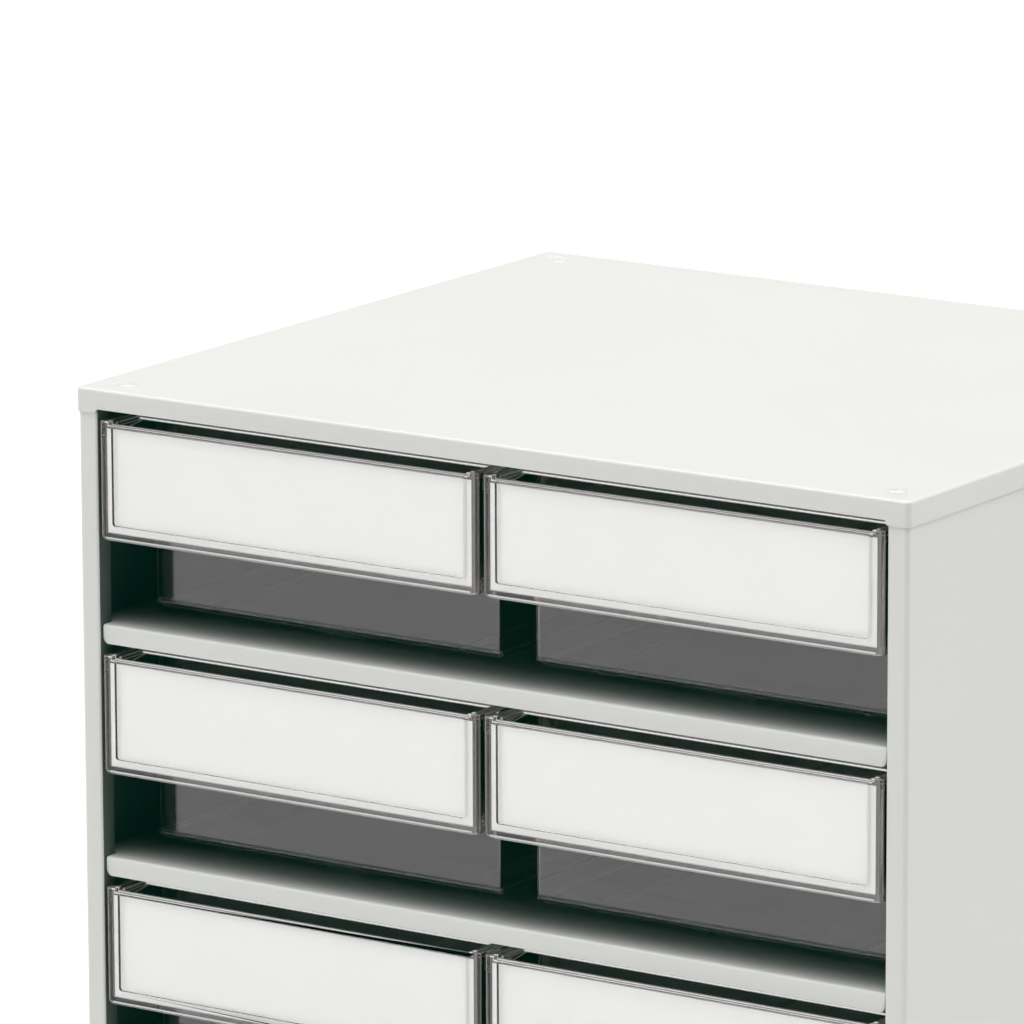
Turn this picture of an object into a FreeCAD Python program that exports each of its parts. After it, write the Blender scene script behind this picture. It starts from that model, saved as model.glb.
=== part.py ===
import FreeCAD, Part
import math
import os

# Small parts drawer cabinet: a folded sheet steel housing with rows of two clear drawers.
# Millimetres. X runs across, left to right as seen from the front, Y runs back and Z runs up.
# The origin is the middle of the footprint, on the surface that the feet stand on.

Vector = FreeCAD.Vector

# Housing: driving sizes
lid_width = 387.0
lid_depth = 338.0
sheet = 0.7
rows = 4
opening_height = 88.0
lip_height = 10.0
front_cut_back = 1.9
bend_radius = 1.2
base_edge_bevel = 0.6
lid_corner_radius = 2.5
opening_corner_radius = 1.2
post_width = 9.2
post_return = 8.0
corner_clearance = 0.3
rear_flange_width = 14.0

# Shelves, the lowest of which lies in the base
shelf_lip_height = 7.75
shelf_floor_gap = 1.55
shelf_set_back = 1.6
shelf_end_gap = 0.7
shelf_notch_clearance = 0.8
shelf_lip_corner_radius = 2.5
stop_tab_width = 20.0
stop_tab_height = 2.4
stop_tab_distance = 36.0
stop_window_margin = 0.4

# Wall holes in the back panel
wall_hole_radius = 2.5
wall_hole_spacing_x = 320.0
wall_hole_spacing_z = 288.0

# Feet, and the dimples of the lid that the feet of the next cabinet stand in
foot_inset = 15.2
foot_height = 3.0
foot_radius = 3.9
dimple_clearance = 0.3
dimple_slope = 0.4
dimple_depth = 1.2

# Drawers: fit in the opening
drawer_side_gap = 1.2
drawer_centre_gap = 2.0
drawer_rear_gap = 10.9
slide_clearance = 0.2
stop_tab_clearance = 1.2

# Drawers: tub, rim, skids and the rib that meets the shelf's stop when the drawer is out
wall = 1.3
rim_distance = 5.2
rim_thickness = 1.5
rim_width = 7.2
rim_corner_radius = 5.0
front_rim_distance = 18.7
front_rim_width = 7.2
tub_side_radius = 3.0
tub_end_bevel = 2.5
tub_corner_radius = 1.5
skid_inset = 30.0
skid_width = 2.0
skid_end_distance = 12.0
stop_rib_width = 26.0
stop_rib_thickness = 1.6
stop_rib_lift = 0.8
stop_rib_distance = 30.6

# Drawers: label panel with its card pocket, corner tabs and arms
panel_height = 47.2
panel_drop = 0.7
panel_corner_radius = 2.5
panel_edge_bevel = 1.4
pocket_front_wall = 1.9
pocket_gap = 1.0
pocket_rear_wall = 2.1
pocket_side_wall = 2.5
pocket_floor = 3.2
tab_width = 5.1
tab_height = 1.5
window_side_margin = 6.5
window_top_margin = 1.0
window_depth = 1.0
window_corner_radius = 1.2
arm_width = 6.4
arm_wall = 1.6
arm_outer_depth = 6.5
arm_outer_length = 42.0
arm_inner_depth = 4.3
arm_inner_end_depth = 1.8
card_thickness = 0.3
card_side_clearance = 0.8
card_top_distance = 1.6

# Housing: sizes that follow
left = -lid_width / 2
front = -lid_depth / 2
back = lid_depth / 2
front_lip_height = lip_height - front_cut_back
base_lip_height = shelf_lip_height + sheet + shelf_floor_gap
case_bottom = foot_height
case_top = (case_bottom + base_lip_height + rows * opening_height + (rows - 1) * shelf_lip_height
            + front_lip_height)
body_left = left + sheet
post_face = front + sheet
side_corner_radius = lid_corner_radius - sheet + corner_clearance
opening_left = body_left + post_width
flange_rear = back - 2 * sheet
shelf_rear = flange_rear - sheet

# Drawers: sizes that follow, with heights above the shelf and depths behind the front, flush with the lid
panel_width = -opening_left - drawer_side_gap - drawer_centre_gap / 2
panel_thickness = pocket_front_wall + pocket_gap + pocket_rear_wall
rim_top = opening_height - rim_distance
panel_top = rim_top - panel_drop
panel_bottom = panel_top - panel_height
tab_top = panel_top + tab_height
drawer_length = flange_rear - front - drawer_rear_gap
tub_front = front_rim_distance + front_rim_width
tub_rear = drawer_length - rim_width
tub_bottom = stop_tab_height + stop_tab_clearance
beyond = 1.0


def block(x0, x1, y0, y1, z0, z1):
    """A box between the given planes."""
    return Part.makeBox(x1 - x0, y1 - y0, z1 - z0, Vector(x0, y0, z0))


def rounded_path(points, radii):
    """A wire of straight runs through the points, with an arc of its own radius at each inner point."""
    edges = []
    start = points[0]
    for before, corner, after, radius in zip(points, points[1:], points[2:], radii):
        to_before = (before - corner).normalize()
        to_after = (after - corner).normalize()
        half_angle = to_before.getAngle(to_after) / 2
        reach = radius / math.tan(half_angle)
        to_centre = (to_before + to_after).normalize()
        middle = corner + to_centre * (radius / math.sin(half_angle) - radius)
        edges.append(Part.LineSegment(start, corner + to_before * reach).toShape())
        start = corner + to_after * reach
        edges.append(Part.Arc(corner + to_before * reach, middle, start).toShape())
    edges.append(Part.LineSegment(start, points[-1]).toShape())
    return Part.Wire(edges)


def edges_where(shape, chosen):
    """Every edge whose bounding box passes the test."""
    return [edge for edge in shape.Edges if chosen(edge.BoundBox)]


def fillet_where(shape, radius, chosen):
    """Rounds every edge whose bounding box passes the test."""
    return shape.makeFillet(radius, edges_where(shape, chosen))


def bevel_where(shape, size, chosen):
    """Bevels every edge whose bounding box passes the test."""
    return shape.makeChamfer(size, edges_where(shape, chosen))


def close(a, b):
    """True for two places that are the same but for rounding."""
    return abs(a - b) < sheet / 100


def is_upright(box):
    """True for an edge that runs straight up."""
    return close(box.XLength, 0) and close(box.YLength, 0)


def mirrored(shape):
    """The same shape on the other side of the middle plane."""
    return shape.mirror(Vector(0, 0, 0), Vector(1, 0, 0))


def both_sides(shape):
    """The shape joined with its mirror image."""
    return shape.fuse(mirrored(shape))


def corner_places(z):
    """The four places where a foot or a dimple goes."""
    x = -left - foot_inset
    y = back - foot_inset
    return [Vector(side * x, end * y, z) for side in (-1, 1) for end in (-1, 1)]


def tray_solid(inset, lips):
    """The outer shape of the lid or the base drawn in by the inset, from z = 0 down to its lips' edges."""
    shape = block(left + inset, -left - inset, front + inset, back - inset, -lips, -inset)
    return fillet_where(shape, lid_corner_radius - inset, is_upright)


def is_top_edge(box):
    """True for the edges round the top of a shape that hangs below z = 0."""
    return close(box.ZMin, 0)


def dimple_cone(place, grow, top, bottom):
    """A cone that narrows downwards from top to bottom at one of the lid's corners."""
    flat_radius = foot_radius + dimple_clearance + grow
    base = Vector(place.x, place.y, bottom)
    return Part.makeCone(flat_radius, flat_radius + dimple_slope, top - bottom, base)


def make_top_panel():
    """The lid, whose front lip is cut back over the opening and whose corners have pressed dimples."""
    lid = fillet_where(tray_solid(0, lip_height), bend_radius, is_top_edge).cut(tray_solid(sheet, lip_height))
    cut_out = block(opening_left, -opening_left, front - beyond, front + sheet + beyond,
                    -lip_height - beyond, -front_lip_height)
    cut_out = fillet_where(cut_out, opening_corner_radius,
                           lambda box: close(box.ZMin, -front_lip_height) and close(box.XLength, 0))
    lid = lid.cut(cut_out)
    for place in corner_places(0):
        lid = lid.fuse(dimple_cone(place, sheet, -sheet / 2, -dimple_depth - sheet))
        lid = lid.cut(dimple_cone(place, 0, 0, -dimple_depth))
    lid = lid.removeSplitter()
    lid.translate(Vector(0, 0, case_top))
    return lid


def make_base_panel():
    """The base is a tray like the lid turned over, with neither cut-out nor dimples."""
    base = bevel_where(tray_solid(0, base_lip_height), base_edge_bevel, is_top_edge)
    base = base.cut(tray_solid(sheet, base_lip_height))
    base = base.mirror(Vector(0, 0, 0), Vector(0, 0, 1))
    base.translate(Vector(0, 0, case_bottom))
    return base


def make_left_side_panel():
    """One sheet: return flange, post, side and rear flange."""
    outside = [Vector(opening_left, post_face + post_return, 0),
               Vector(opening_left, post_face, 0),
               Vector(body_left, post_face, 0),
               Vector(body_left, flange_rear, 0),
               Vector(body_left + rear_flange_width, flange_rear, 0)]
    path = rounded_path(outside, [bend_radius, side_corner_radius, side_corner_radius])
    section = path.makeOffset2D(sheet, 0, True, True, False)
    panel = section.extrude(Vector(0, 0, case_top - case_bottom - 2 * sheet))
    panel.translate(Vector(0, 0, case_bottom + sheet))
    return panel


def make_back_panel():
    """A flat sheet on the rear flanges, between the lid and the base, with four wall holes."""
    half_width = -left - lid_corner_radius - corner_clearance
    panel = block(-half_width, half_width, flange_rear, back - sheet, case_bottom + sheet, case_top - sheet)
    middle = (case_bottom + case_top) / 2
    for end in (-1, 1):
        place = Vector(-wall_hole_spacing_x / 2, back, middle + end * wall_hole_spacing_z / 2)
        hole = Part.makeCylinder(wall_hole_radius, back - flange_rear + beyond, place, Vector(0, -1, 0))
        panel = panel.cut(both_sides(hole))
    return panel


def make_feet():
    """Four rubber discs stuck under the base, right below the lid's dimples."""
    discs = [Part.makeCylinder(foot_radius, foot_height, place) for place in corner_places(0)]
    return Part.makeCompound(discs)


def shelf_height(row):
    """The top of the shelf under a row, where row 1 is the highest."""
    return case_top - front_lip_height - row * opening_height - (row - 1) * shelf_lip_height


def shelf_solid(inset):
    """The shelf's outer shape drawn in by the inset, with its top at z = 0."""
    narrow = -opening_left - shelf_end_gap - inset
    wide = -body_left - sheet - inset
    lip_face = post_face + shelf_set_back + inset
    notch = post_face + post_return + shelf_notch_clearance + inset
    rear = shelf_rear - inset
    half = [Vector(narrow, lip_face, -inset), Vector(narrow, notch, -inset),
            Vector(wide, notch, -inset), Vector(wide, rear, -inset)]
    other_half = [Vector(-point.x, point.y, point.z) for point in reversed(half)]
    outline = Part.makePolygon(half + other_half + half[:1])
    return Part.Face(outline).extrude(Vector(0, 0, inset - shelf_lip_height))


def is_shelf_front(box):
    """True for the edge where a shelf's front lip folds down."""
    return close(box.ZMin, 0) and close(box.YMax, post_face + shelf_set_back)


def drawer_middle(side):
    """The middle of the left (-1) or right (1) drawer."""
    return side * (panel_width + drawer_centre_gap) / 2


def make_shelf(row):
    """A sheet with lips folded down, notched at its corners, with a lanced stop for each drawer."""
    shelf = fillet_where(shelf_solid(0), bend_radius, is_shelf_front).cut(shelf_solid(sheet))
    narrow = -opening_left - shelf_end_gap
    lip_face = post_face + shelf_set_back
    notch = post_face + post_return + shelf_notch_clearance
    front_relief = block(narrow - sheet, -left, lip_face + sheet, notch + sheet,
                         -shelf_lip_height - beyond, -sheet)
    rear_relief = block(-body_left - side_corner_radius, -left, shelf_rear - side_corner_radius, back,
                        -shelf_lip_height - beyond, beyond)
    shelf = shelf.cut([both_sides(front_relief), both_sides(rear_relief)])
    shelf = fillet_where(shelf, shelf_lip_corner_radius,
                         lambda box: close(box.ZMin, -shelf_lip_height) and close(box.ZMax, -shelf_lip_height)
                         and close(abs(box.XMin), narrow) and close(box.XLength, 0))
    tab_face = post_face + stop_tab_distance
    for side in (-1, 1):
        middle = drawer_middle(side)
        x0 = middle - stop_tab_width / 2
        x1 = middle + stop_tab_width / 2
        shelf = shelf.cut(block(x0 - stop_window_margin, x1 + stop_window_margin, tab_face + sheet,
                                tab_face + sheet + stop_tab_height, -sheet - beyond, beyond))
        shelf = shelf.fuse(block(x0, x1, tab_face, tab_face + sheet, -sheet, stop_tab_height))
    shelf = shelf.removeSplitter()
    shelf.translate(Vector(0, 0, shelf_height(row)))
    return shelf


def tub_block(inset, top):
    """The tub's sides, ends and floor drawn in by the inset."""
    half_width = panel_width / 2 - rim_width - inset
    return block(-half_width, half_width, tub_front + inset, tub_rear - inset, tub_bottom + inset, top)


def tub_solid(inset, top):
    """The tub block with its floor's edges rounded along the sides and bevelled along the ends."""
    bottom = tub_bottom + inset
    solid = tub_block(inset, top)
    rounded = fillet_where(solid, tub_side_radius - inset,
                           lambda box: close(box.ZMax, bottom) and close(box.XLength, 0))
    bevelled = bevel_where(solid, tub_end_bevel, lambda box: close(box.ZMax, bottom) and close(box.YLength, 0))
    return rounded.common(bevelled)


def make_rim():
    """The flange round the tub, which runs forwards as two strips beside the finger gap."""
    half_width = panel_width / 2
    rim = block(-half_width, half_width, panel_thickness, drawer_length, rim_top - rim_thickness, rim_top)
    rim = fillet_where(rim, rim_corner_radius, lambda box: is_upright(box) and close(box.YMax, drawer_length))
    half_gap = half_width - arm_width
    return rim.cut(block(-half_gap, half_gap, 0, front_rim_distance, 0, rim_top + beyond))


def arm_web(x0, x1, front_depth, end, end_depth):
    """A web under a strip of the rim, whose lower edge rises from the panel to its end."""
    outline = [Vector(x0, panel_thickness, rim_top),
               Vector(x0, panel_thickness, rim_top - front_depth),
               Vector(x0, end, rim_top - end_depth),
               Vector(x0, end, rim_top),
               Vector(x0, panel_thickness, rim_top)]
    return Part.Face(Part.makePolygon(outline)).extrude(Vector(x1 - x0, 0, 0))


def make_arms():
    """An outer and an inner web on each side, which carry the label panel."""
    edge = -panel_width / 2
    outer = arm_web(edge, edge + arm_wall, arm_outer_depth, arm_outer_length, rim_thickness)
    inner = arm_web(edge + arm_width - arm_wall, edge + arm_width, arm_inner_depth, tub_front + wall,
                    arm_inner_end_depth)
    return both_sides(outer.fuse(inner))


def make_label_panel():
    """The hanging front with its card pocket, open at the top, and a tab at each upper corner."""
    half_width = panel_width / 2
    panel = block(-half_width, half_width, 0, panel_thickness, panel_bottom, tab_top)
    panel = fillet_where(panel, panel_corner_radius,
                         lambda box: close(box.ZMax, panel_bottom) and close(box.XLength, 0))
    panel = bevel_where(panel, panel_edge_bevel,
                        lambda box: close(box.YMax, 0) and not close(box.ZMin, tab_top))
    half_gap = half_width - tab_width
    panel = panel.cut(block(-half_gap, half_gap, -beyond, panel_thickness + beyond, panel_top, tab_top + beyond))
    pocket_half_width = half_width - pocket_side_wall
    panel = panel.cut(block(-pocket_half_width, pocket_half_width, pocket_front_wall,
                            pocket_front_wall + pocket_gap, panel_bottom + pocket_floor, tab_top + beyond))
    window_half_width = half_width - window_side_margin
    window = block(-window_half_width, window_half_width, -beyond, window_depth,
                   panel_bottom + window_side_margin, panel_top - window_top_margin)
    window = fillet_where(window, window_corner_radius,
                          lambda box: box.YLength > window_depth and box.ZMax < panel_top - window_top_margin)
    return panel.cut(window)


def make_drawer():
    """One clear moulding: tub, rim, arms, label panel, skids and stop rib."""
    skid_x = panel_width / 2 - skid_inset
    skid = block(-skid_x - skid_width / 2, skid_width / 2 - skid_x, tub_front + skid_end_distance,
                 tub_rear - skid_end_distance, slide_clearance, tub_bottom + wall / 2)
    rib_front = tub_rear - stop_rib_distance
    stop_rib = block(-stop_rib_width / 2, stop_rib_width / 2, rib_front, rib_front + stop_rib_thickness,
                     stop_rib_lift, tub_bottom + wall / 2)
    tub = tub_solid(0, rim_top).common(fillet_where(tub_block(0, rim_top), tub_corner_radius, is_upright))
    drawer = tub.fuse([make_rim(), make_arms()])
    drawer = drawer.cut(tub_solid(wall, rim_top + beyond))
    drawer = drawer.fuse([make_label_panel(), both_sides(skid), stop_rib])
    return drawer.removeSplitter()


def make_label_card():
    """A plain card that stands on the pocket's floor."""
    half_width = panel_width / 2 - pocket_side_wall - card_side_clearance
    face = pocket_front_wall + (pocket_gap - card_thickness) / 2
    return block(-half_width, half_width, face, face + card_thickness, panel_bottom + pocket_floor,
                 panel_top - card_top_distance)


def export(name, shape):
    """Writes one named piece, or one group of like pieces."""
    shape.exportStep(os.path.join("parts", name + ".step"))


os.makedirs("parts", exist_ok=True)
export("top_panel", make_top_panel())
export("base_panel", make_base_panel())
left_side_panel = make_left_side_panel()
export("left_side_panel", left_side_panel)
export("right_side_panel", mirrored(left_side_panel))
export("back_panel", make_back_panel())
export("feet", make_feet())

drawer = make_drawer()
label_card = make_label_card()
for row in range(1, rows + 1):
    export("shelf_" + str(row), make_shelf(row))
    for side, side_name in ((-1, "left"), (1, "right")):
        place = Vector(drawer_middle(side), front, shelf_height(row))
        for name, shape in (("drawer", drawer), ("label_card", label_card)):
            copy = shape.copy()
            copy.translate(place)
            export(name + "_row" + str(row) + "_" + side_name, copy)
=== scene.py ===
import bpy
import math
from mathutils import Matrix, Vector


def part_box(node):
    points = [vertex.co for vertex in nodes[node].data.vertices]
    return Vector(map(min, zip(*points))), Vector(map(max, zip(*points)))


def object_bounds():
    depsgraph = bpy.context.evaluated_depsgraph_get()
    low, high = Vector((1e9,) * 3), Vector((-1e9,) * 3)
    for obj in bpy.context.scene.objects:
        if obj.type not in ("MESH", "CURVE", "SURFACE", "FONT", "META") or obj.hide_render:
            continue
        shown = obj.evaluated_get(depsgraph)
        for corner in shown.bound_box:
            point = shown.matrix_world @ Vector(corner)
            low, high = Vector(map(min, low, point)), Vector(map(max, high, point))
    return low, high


# Small parts drawer cabinet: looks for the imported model, in its own frame, in metres.

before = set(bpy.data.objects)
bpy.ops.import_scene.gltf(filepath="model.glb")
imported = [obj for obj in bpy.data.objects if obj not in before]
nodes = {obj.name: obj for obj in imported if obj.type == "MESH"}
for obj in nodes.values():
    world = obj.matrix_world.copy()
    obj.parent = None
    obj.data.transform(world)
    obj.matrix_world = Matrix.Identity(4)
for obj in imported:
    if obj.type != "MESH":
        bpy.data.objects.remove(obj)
cad_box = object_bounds()
scene = bpy.context.scene

MM = 0.001

# A face looks along an axis where that part of its normal is larger than this
FACING = 0.5

# Camera
CAMERA_PLACE = Vector((1.79179, -2.80449, 1.08588))
CAMERA_AZIMUTH = math.radians(33.982)
CAMERA_ELEVATION = math.radians(12.679)
CAMERA_ROLL = math.radians(-0.217)
CAMERA_LENS = 298.26
CAMERA_SENSOR = 36.0
CAMERA_RANGE = 100

# Colours are linear. A pattern is given by its scale and detail, with a spread, a range or a height
# Powder coat
STEEL_COLOUR = (0.575, 0.58, 0.553)
STEEL_PATCHES = (9, 3)
STEEL_SPREAD = 0.03
STEEL_GLOSS = (240, 2)
STEEL_ROUGHNESS = (0.36, 0.5)
STEEL_PEEL = (900, 2)
STEEL_PEEL_HEIGHT = 0.03 * MM

# Painted shade inside the housing's bays: its colour, the depth where the coat starts to fade into it, the
# fade length, and the extra painted shade on faces that look sideways
PAINTED_SHADE_COLOUR = (0.006, 0.022, 0.018)
SHADE_START = 4 * MM
SHADE_LENGTH = 10.5 * MM
SIDE_SHADE = 0.85

# A point of the coat is inside if a step out of its face stays within the sheets and below the dimples
OUTWARD_STEP = 1.5 * MM
SHEET = 0.7 * MM
LID_SKIN = 1.0 * MM

# Label card, which lets some light through
CARD_COLOUR = (0.945, 0.955, 0.95)
CARD_PATCHES = (30, 5)
CARD_SPREAD = 0.012
CARD_ROUGHNESS = 0.85
CARD_SPECULAR = 0.2
CARD_FIBRES = (2500, 3)
CARD_FIBRE_HEIGHT = 0.02 * MM
CARD_GLOW = 0.2

# Clear plastic
PLASTIC_COLOUR = (0.99, 0.985, 0.98)
PLASTIC_SHEEN = (1, 0.95, 0.95)
PLASTIC_IOR = 1.59
PLASTIC_HAZE = (60, 3)
PLASTIC_ROUGHNESS = (0.01, 0.05)
PLASTIC_WAVES = (25, 1)
PLASTIC_WAVE_HEIGHT = 0.1 * MM
PLASTIC_WAVE_STRENGTH = 0.3

# Narrow faces of the plastic: depths of the label panel and of the rim's front edge, how clear they are,
# the share of this on the panel's level faces, and the painted highlight, a glow, on the rim's front edge,
# with its colour
PANEL_REACH = 6 * MM
RIM_REACH = 22 * MM
EDGE_CLEAR = 0.4
PANEL_SHARE = 0.5
RIM_PAINTED_HIGHLIGHT = 0.6
PAINTED_HIGHLIGHT_COLOUR = (0.98, 1, 0.95)

# Painted shade on the label panel's side walls, for the darkness seen through the thick clear walls: its
# colour on the walls and on their rounded edges, where it begins, as a share of the drawer's width from its
# middle, and the clear skin in front of it
PAINTED_SIDE_SHADE_COLOUR = (0.2, 0.165, 0.155)
PAINTED_SIDE_EDGE_SHADE_COLOUR = (0.3, 0.26, 0.25)
SIDE_MARGIN = 0.4818
FRONT_SKIN = 1.0 * MM

# Rounded edges of the mouldings, and how hazy they still are behind the rim's front edge
EDGE_COLOUR = (0.95, 0.92, 0.9)
EDGE_ROUGHNESS = (0.1, 0.3)
DEEP_EDGE_SHARE = 0.25

# The label window, as shares of the drawer's size
WINDOW_HALF_WIDTH = 0.468
WINDOW_DEPTH = 0.006
WINDOW_BOTTOM = 0.485
WINDOW_TOP = 0.98

# Rubber
RUBBER_COLOUR = (0.022, 0.022, 0.023)
RUBBER_PATCHES = (400, 3)
RUBBER_SPREAD = 0.25
RUBBER_ROUGHNESS = 0.7
RUBBER_GRAIN = (1500, 3)
RUBBER_GRAIN_HEIGHT = 0.05 * MM

# Meshes: joined points, flat faces and rounded edges
WELD_DISTANCE = 0.002 * MM
FLAT_ANGLE = math.radians(0.5)
ROUNDING = 0.45 * MM
ROUNDING_SEGMENTS = 3
SHARP_ANGLE = math.radians(30)

# Floor
FLOOR_COLOUR = (0.66, 0.66, 0.66)
FLOOR_ROUGHNESS = 0.9
FLOOR_SPECULAR = 0.1
FLOOR_HALF_WIDTH = 25

# Studio light: the ceiling by the height of the direction, and the two side lights, which leave the
# directions along DARK_SIDE dark
WHITE = (1, 1, 1)
CEILING_START = 0.5
CEILING_FULL = 0.9
CEILING_LIGHT = 3.25
DARK_SIDE = Vector((0.7071, -0.7071, 0))
SIDES_FULL = 0.2
SIDES_END = 0.8
SIDES_LIGHT = 2.25
SIDES_FADE = 0.2
SIDES_TOP = 0.6

# Picture: black level by colour, and how often light is followed on
BLACK_LEVEL = (0, -0.008, -0.005)
BOUNCES = {"max_bounces": 24, "transmission_bounces": 24, "transparent_max_bounces": 16,
           "diffuse_bounces": 6, "glossy_bounces": 8}


def add_camera():
    """The camera of the photograph."""
    back = Vector((math.sin(CAMERA_AZIMUTH) * math.cos(CAMERA_ELEVATION),
                   -math.cos(CAMERA_AZIMUTH) * math.cos(CAMERA_ELEVATION),
                   math.sin(CAMERA_ELEVATION)))
    right = Vector((math.cos(CAMERA_AZIMUTH), math.sin(CAMERA_AZIMUTH), 0))
    up = back.cross(right)
    turned_right = right * math.cos(CAMERA_ROLL) + up * math.sin(CAMERA_ROLL)
    turned_up = up * math.cos(CAMERA_ROLL) - right * math.sin(CAMERA_ROLL)
    data = bpy.data.cameras.new("camera")
    data.lens = CAMERA_LENS
    data.sensor_width = CAMERA_SENSOR
    data.clip_end = CAMERA_RANGE
    camera = bpy.data.objects.new("camera", data)
    scene.collection.objects.link(camera)
    axes = Matrix((turned_right, turned_up, back)).transposed().to_4x4()
    camera.matrix_world = Matrix.Translation(CAMERA_PLACE) @ axes
    scene.camera = camera


def new_material(name):
    """An empty node material and its Principled shader."""
    material = bpy.data.materials.new(name)
    material.use_nodes = True
    shader = material.node_tree.nodes["Principled BSDF"]
    return material, shader


def coordinates(tree, kind):
    """Texture coordinates: Object gives places in metres, Generated gives shares of the piece's own box."""
    return tree.nodes.new("ShaderNodeTexCoord").outputs[kind]


def xyz(tree, vector):
    """The three parts of a vector."""
    split = tree.nodes.new("ShaderNodeSeparateXYZ")
    tree.links.new(vector, split.inputs["Vector"])
    return split.outputs


def math_node(tree, operation, first, second):
    """One sum, of outputs or of plain numbers."""
    node = tree.nodes.new("ShaderNodeMath")
    node.operation = operation
    for socket, value in zip(node.inputs, (first, second)):
        if isinstance(value, (int, float)):
            socket.default_value = value
        else:
            tree.links.new(value, socket)
    return node.outputs["Value"]


def absolute(tree, value):
    """The value without its sign."""
    return math_node(tree, "ABSOLUTE", value, 0)


def product(tree, *values):
    """All the values multiplied, so for tests 1 where each of them holds."""
    result = values[0]
    for value in values[1:]:
        result = math_node(tree, "MULTIPLY", result, value)
    return result


def noise(tree, place, pattern):
    """A noise pattern with its scale and detail, in metres."""
    scale, detail = pattern
    node = tree.nodes.new("ShaderNodeTexNoise")
    node.inputs["Scale"].default_value = scale
    node.inputs["Detail"].default_value = detail
    tree.links.new(place, node.inputs["Vector"])
    return node.outputs["Fac"]


def map_range(tree, value, low, high, start=0, end=1, interpolation="LINEAR"):
    """The value from start..end drawn onto low..high."""
    node = tree.nodes.new("ShaderNodeMapRange")
    node.interpolation_type = interpolation
    node.inputs["From Min"].default_value = start
    node.inputs["From Max"].default_value = end
    node.inputs["To Min"].default_value = low
    node.inputs["To Max"].default_value = high
    tree.links.new(value, node.inputs["Value"])
    return node.outputs["Result"]


def smooth_step(tree, value, start, end, low, high):
    """A soft step of the value from low, before start, to high, past end."""
    return map_range(tree, value, low, high, start, end, "SMOOTHSTEP")


def mixed_colour(tree, first, second, share):
    """The first colour where the share is 0 and the second where it is 1. Each is a colour or an output."""
    node = tree.nodes.new("ShaderNodeMix")
    node.data_type = "RGBA"
    for name, colour in (("A", first), ("B", second)):
        if isinstance(colour, tuple):
            node.inputs[name].default_value = colour + (1,)
        else:
            tree.links.new(colour, node.inputs[name])
    tree.links.new(share, node.inputs["Factor"])
    return node.outputs["Result"]


def tinted(tree, colour, value, spread):
    """The colour made a little darker or lighter by a pattern."""
    darker = tuple(part * (1 - spread) for part in colour)
    lighter = tuple(min(1, part * (1 + spread)) for part in colour)
    return mixed_colour(tree, darker, lighter, value)


def bump(tree, shader, height, distance, strength=1.0):
    """Bump from a height pattern."""
    node = tree.nodes.new("ShaderNodeBump")
    node.inputs["Distance"].default_value = distance
    node.inputs["Strength"].default_value = strength
    tree.links.new(height, node.inputs["Height"])
    tree.links.new(node.outputs["Normal"], shader.inputs["Normal"])


def depth_behind_front(tree, place):
    """How far a place lies behind the front of the housing."""
    return math_node(tree, "SUBTRACT", xyz(tree, place)["Y"], cad_box[0].y)


def painted_shade_share(tree, place):
    """Painted shade: 0 on the outside of the housing, at its front and under its sheets, rising to 1 deep in
    the bays.
    """
    low, high = cad_box
    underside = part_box("base_panel")[0].z
    normal = coordinates(tree, "Normal")
    step = tree.nodes.new("ShaderNodeVectorMath")
    step.operation = "MULTIPLY_ADD"
    tree.links.new(normal, step.inputs[0])
    step.inputs[1].default_value = (OUTWARD_STEP, OUTWARD_STEP, OUTWARD_STEP)
    tree.links.new(place, step.inputs[2])
    x, y, z = xyz(tree, step.outputs["Vector"])
    limits = ((absolute(tree, x), "LESS_THAN", high.x - SHEET),
              (y, "GREATER_THAN", low.y + SHEET),
              (y, "LESS_THAN", high.y - SHEET),
              (z, "GREATER_THAN", underside),
              (z, "LESS_THAN", high.z - LID_SKIN),
              (xyz(tree, normal)["Z"], "GREATER_THAN", -FACING))
    within = product(tree, *[math_node(tree, operation, value, limit) for value, operation, limit in limits])
    behind = math_node(tree, "SUBTRACT", xyz(tree, place)["Y"], low.y + SHADE_START)
    depth = math_node(tree, "MAXIMUM", behind, 0)
    light = math_node(tree, "EXPONENT", math_node(tree, "DIVIDE", depth, -SHADE_LENGTH), 0)
    sideways = absolute(tree, xyz(tree, normal)["X"])
    kept = math_node(tree, "SUBTRACT", 1, product(tree, sideways, SIDE_SHADE))
    return product(tree, within, math_node(tree, "SUBTRACT", 1, product(tree, light, kept)))


def powder_coat_and_painted_shade():
    """Fine light grey powder coat: even colour, satin, with a little orange peel, and painted shade that
    darkens it deep in the bays.
    """
    material, shader = new_material("powder_coat_and_painted_shade")
    tree = material.node_tree
    place = coordinates(tree, "Object")
    coat = tinted(tree, STEEL_COLOUR, noise(tree, place, STEEL_PATCHES), STEEL_SPREAD)
    # The coat fades into the painted shade colour deep in the bays
    colour = mixed_colour(tree, coat, PAINTED_SHADE_COLOUR, painted_shade_share(tree, place))
    tree.links.new(colour, shader.inputs["Base Color"])
    roughness = map_range(tree, noise(tree, place, STEEL_GLOSS), *STEEL_ROUGHNESS)
    tree.links.new(roughness, shader.inputs["Roughness"])
    bump(tree, shader, noise(tree, place, STEEL_PEEL), STEEL_PEEL_HEIGHT)
    return material


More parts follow.
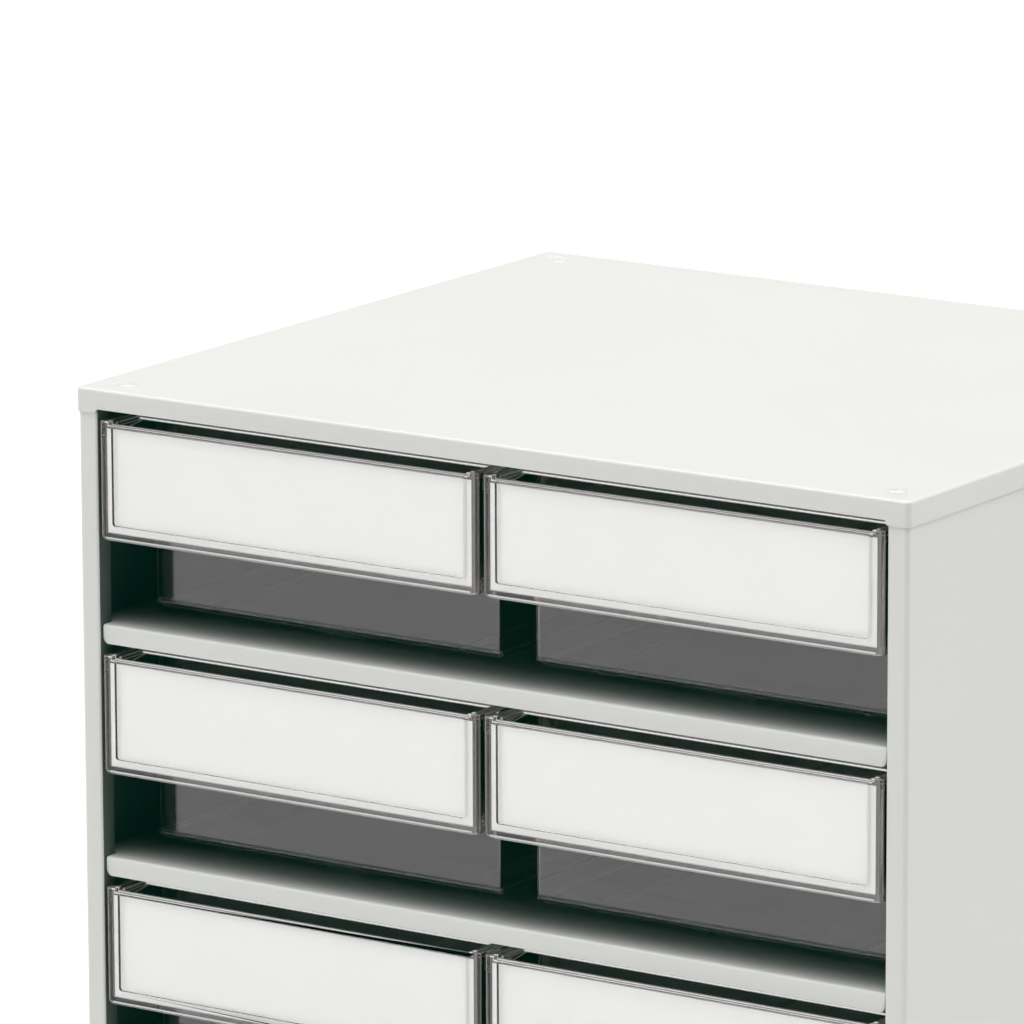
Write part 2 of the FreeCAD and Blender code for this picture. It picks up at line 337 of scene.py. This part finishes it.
def card():
    """Plain white label card."""
    material, shader = new_material("label_card")
    tree = material.node_tree
    place = coordinates(tree, "Object")
    colour = tinted(tree, CARD_COLOUR, noise(tree, place, CARD_PATCHES), CARD_SPREAD)
    tree.links.new(colour, shader.inputs["Base Color"])
    shader.inputs["Roughness"].default_value = CARD_ROUGHNESS
    shader.inputs["Specular IOR Level"].default_value = CARD_SPECULAR
    bump(tree, shader, noise(tree, place, CARD_FIBRES), CARD_FIBRE_HEIGHT)
    through = tree.nodes.new("ShaderNodeBsdfTranslucent")
    through.inputs["Color"].default_value = CARD_COLOUR + (1,)
    mixed = tree.nodes.new("ShaderNodeMixShader")
    mixed.inputs["Fac"].default_value = CARD_GLOW
    tree.links.new(shader.outputs["BSDF"], mixed.inputs[1])
    tree.links.new(through.outputs["BSDF"], mixed.inputs[2])
    tree.links.new(mixed.outputs["Shader"], tree.nodes["Material Output"].inputs["Surface"])
    return material


def narrow_shares(tree, place):
    """The label panel's level faces, by their share, and the rim's front edge, which is hazier and gets a
    painted highlight, a glow.
    """
    depth = depth_behind_front(tree, place)
    normal = xyz(tree, coordinates(tree, "Normal"))
    on_panel = math_node(tree, "LESS_THAN", depth, PANEL_REACH)
    level = math_node(tree, "GREATER_THAN", absolute(tree, normal["Z"]), FACING)
    panel = product(tree, on_panel, level, PANEL_SHARE)
    up_to_rim = math_node(tree, "LESS_THAN", depth, RIM_REACH)
    forwards = math_node(tree, "LESS_THAN", normal["Y"], -FACING)
    rim = product(tree, math_node(tree, "SUBTRACT", up_to_rim, on_panel), forwards)
    return panel, rim


def painted_side_shade_share(tree, place, skin):
    """1 on the label panel's side walls, deeper than the skin, which get painted shade, and 0 elsewhere."""
    depth = depth_behind_front(tree, place)
    normal = xyz(tree, coordinates(tree, "Normal"))
    sideways = math_node(tree, "GREATER_THAN", absolute(tree, normal["X"]), FACING)
    from_middle = math_node(tree, "SUBTRACT", xyz(tree, coordinates(tree, "Generated"))["X"], 0.5)
    margin = math_node(tree, "GREATER_THAN", absolute(tree, from_middle), SIDE_MARGIN)
    behind = math_node(tree, "GREATER_THAN", depth, skin)
    wall = math_node(tree, "MAXIMUM", sideways, product(tree, margin, behind))
    return product(tree, math_node(tree, "LESS_THAN", depth, PANEL_REACH), wall)


def clear_plastic():
    """Clear moulded polystyrene, a little hazy on narrow faces that are seen through its length, with
    painted shade on the label panel's side walls and a painted highlight, a glow, on the rim's front edge.
    """
    material, shader = new_material("clear_plastic")
    tree = material.node_tree
    place = coordinates(tree, "Object")
    # Painted shade on the label panel's side walls
    colour = mixed_colour(tree, PLASTIC_COLOUR, PAINTED_SIDE_SHADE_COLOUR, painted_side_shade_share(tree, place, FRONT_SKIN))
    tree.links.new(colour, shader.inputs["Base Color"])
    panel, rim = narrow_shares(tree, place)
    clear = map_range(tree, math_node(tree, "ADD", panel, rim), 1, EDGE_CLEAR)
    tree.links.new(clear, shader.inputs["Transmission Weight"])
    # Painted highlight: the rim's front edge glows, though no lamp is there
    shader.inputs["Emission Color"].default_value = PAINTED_HIGHLIGHT_COLOUR + (1,)
    tree.links.new(product(tree, rim, RIM_PAINTED_HIGHLIGHT), shader.inputs["Emission Strength"])
    material.cycles.emission_sampling = "NONE"
    shader.inputs["IOR"].default_value = PLASTIC_IOR
    shader.inputs["Specular Tint"].default_value = PLASTIC_SHEEN + (1,)
    roughness = map_range(tree, noise(tree, place, PLASTIC_HAZE), *PLASTIC_ROUGHNESS)
    tree.links.new(roughness, shader.inputs["Roughness"])
    bump(tree, shader, noise(tree, place, PLASTIC_WAVES), PLASTIC_WAVE_HEIGHT, PLASTIC_WAVE_STRENGTH)
    return material


def window_share(tree):
    """1 on the edges of the label window, which stay clear and look dark, and 0 elsewhere."""
    x, y, z = xyz(tree, coordinates(tree, "Generated"))
    from_middle = absolute(tree, math_node(tree, "SUBTRACT", x, 0.5))
    limits = ((from_middle, "LESS_THAN", WINDOW_HALF_WIDTH),
              (y, "LESS_THAN", WINDOW_DEPTH),
              (z, "GREATER_THAN", WINDOW_BOTTOM),
              (z, "LESS_THAN", WINDOW_TOP))
    return product(tree, *[math_node(tree, operation, value, limit) for value, operation, limit in limits])


def moulded_edge():
    """The rounded edges of the mouldings, which catch the light, with painted shade on those of the label
    panel's side walls.
    """
    material, shader = new_material("moulded_edge")
    tree = material.node_tree
    place = coordinates(tree, "Object")
    # Painted shade on the rounded edges of the label panel's side walls
    colour = mixed_colour(tree, EDGE_COLOUR, PAINTED_SIDE_EDGE_SHADE_COLOUR, painted_side_shade_share(tree, place, 0))
    tree.links.new(colour, shader.inputs["Base Color"])
    beyond_rim = math_node(tree, "GREATER_THAN", depth_behind_front(tree, place), RIM_REACH)
    deep = product(tree, beyond_rim, 1 - DEEP_EDGE_SHARE)
    clear = map_range(tree, math_node(tree, "MAXIMUM", window_share(tree), deep), EDGE_CLEAR, 1)
    tree.links.new(clear, shader.inputs["Transmission Weight"])
    shader.inputs["IOR"].default_value = PLASTIC_IOR
    roughness = map_range(tree, noise(tree, place, PLASTIC_HAZE), *EDGE_ROUGHNESS)
    tree.links.new(roughness, shader.inputs["Roughness"])
    return material


def rubber():
    """Black rubber feet."""
    material, shader = new_material("rubber_foot")
    tree = material.node_tree
    place = coordinates(tree, "Object")
    colour = tinted(tree, RUBBER_COLOUR, noise(tree, place, RUBBER_PATCHES), RUBBER_SPREAD)
    tree.links.new(colour, shader.inputs["Base Color"])
    shader.inputs["Roughness"].default_value = RUBBER_ROUGHNESS
    bump(tree, shader, noise(tree, place, RUBBER_GRAIN), RUBBER_GRAIN_HEIGHT)
    return material


def round_edges(node):
    """Rounds a moulding's sharp edges a little, in its last finish."""
    flat = node.modifiers.new("flat", "DECIMATE")
    flat.decimate_type = "DISSOLVE"
    flat.angle_limit = FLAT_ANGLE
    bevel = node.modifiers.new("bevel", "BEVEL")
    bevel.width = ROUNDING
    bevel.segments = ROUNDING_SEGMENTS
    bevel.limit_method = "ANGLE"
    bevel.angle_limit = SHARP_ANGLE
    bevel.use_clamp_overlap = False
    bevel.material = len(node.data.materials) - 1


def dress_nodes():
    """Every carried-over node gets its finished material, and the mouldings get rounded edges."""
    steel, white, clear, black = powder_coat_and_painted_shade(), card(), clear_plastic(), rubber()
    edge = moulded_edge()
    for name, node in nodes.items():
        if name.startswith("drawer"):
            material = clear
        elif name.startswith("label_card"):
            material = white
        elif name == "feet":
            material = black
        else:
            material = steel
        for slot in node.material_slots:
            slot.material = material
        weld = node.modifiers.new("weld", "WELD")
        weld.merge_threshold = WELD_DISTANCE
        if material is clear:
            node.data.materials.append(edge)
            round_edges(node)
        node.modifiers.new("normals", "WEIGHTED_NORMAL")


def add_floor():
    """A plain pale floor under the cabinet."""
    mesh = bpy.data.meshes.new("floor")
    half = FLOOR_HALF_WIDTH
    corners = [(-half, -half, 0), (half, -half, 0), (half, half, 0), (-half, half, 0)]
    mesh.from_pydata(corners, [], [(0, 1, 2, 3)])
    floor = bpy.data.objects.new("floor", mesh)
    scene.collection.objects.link(floor)
    material, shader = new_material("floor")
    shader.inputs["Base Color"].default_value = FLOOR_COLOUR + (1,)
    shader.inputs["Roughness"].default_value = FLOOR_ROUGHNESS
    shader.inputs["Specular IOR Level"].default_value = FLOOR_SPECULAR
    mesh.materials.append(material)


def add_light():
    """Soft studio light: a bright ceiling, and two broad soft side lights beside a dark corner."""
    world = bpy.data.worlds.new("studio")
    scene.world = world
    world.use_nodes = True
    tree = world.node_tree
    background = tree.nodes["Background"]
    background.inputs["Color"].default_value = WHITE + (1,)
    direction = coordinates(tree, "Generated")
    height = xyz(tree, direction)["Z"]
    ceiling = smooth_step(tree, height, CEILING_START, CEILING_FULL, 0, CEILING_LIGHT)
    ahead = tree.nodes.new("ShaderNodeVectorMath")
    ahead.operation = "DOT_PRODUCT"
    tree.links.new(direction, ahead.inputs[0])
    ahead.inputs[1].default_value = DARK_SIDE
    along = absolute(tree, ahead.outputs["Value"])
    sides = smooth_step(tree, along, SIDES_FULL, SIDES_END, SIDES_LIGHT, 0)
    low = smooth_step(tree, height, SIDES_FADE, SIDES_TOP, 1, 0)
    light = math_node(tree, "ADD", ceiling, product(tree, sides, low))
    tree.links.new(light, background.inputs["Strength"])


def set_picture():
    """Plain colours, sharp reflections and enough bounces for the clear plastic."""
    scene.view_settings.view_transform = "Standard"
    scene.view_settings.use_curve_mapping = True
    scene.view_settings.curve_mapping.black_level = BLACK_LEVEL
    scene.cycles.blur_glossy = 0
    for setting, bounces in BOUNCES.items():
        setattr(scene.cycles, setting, bounces)


add_camera()
dress_nodes()
add_floor()
add_light()
set_picture()
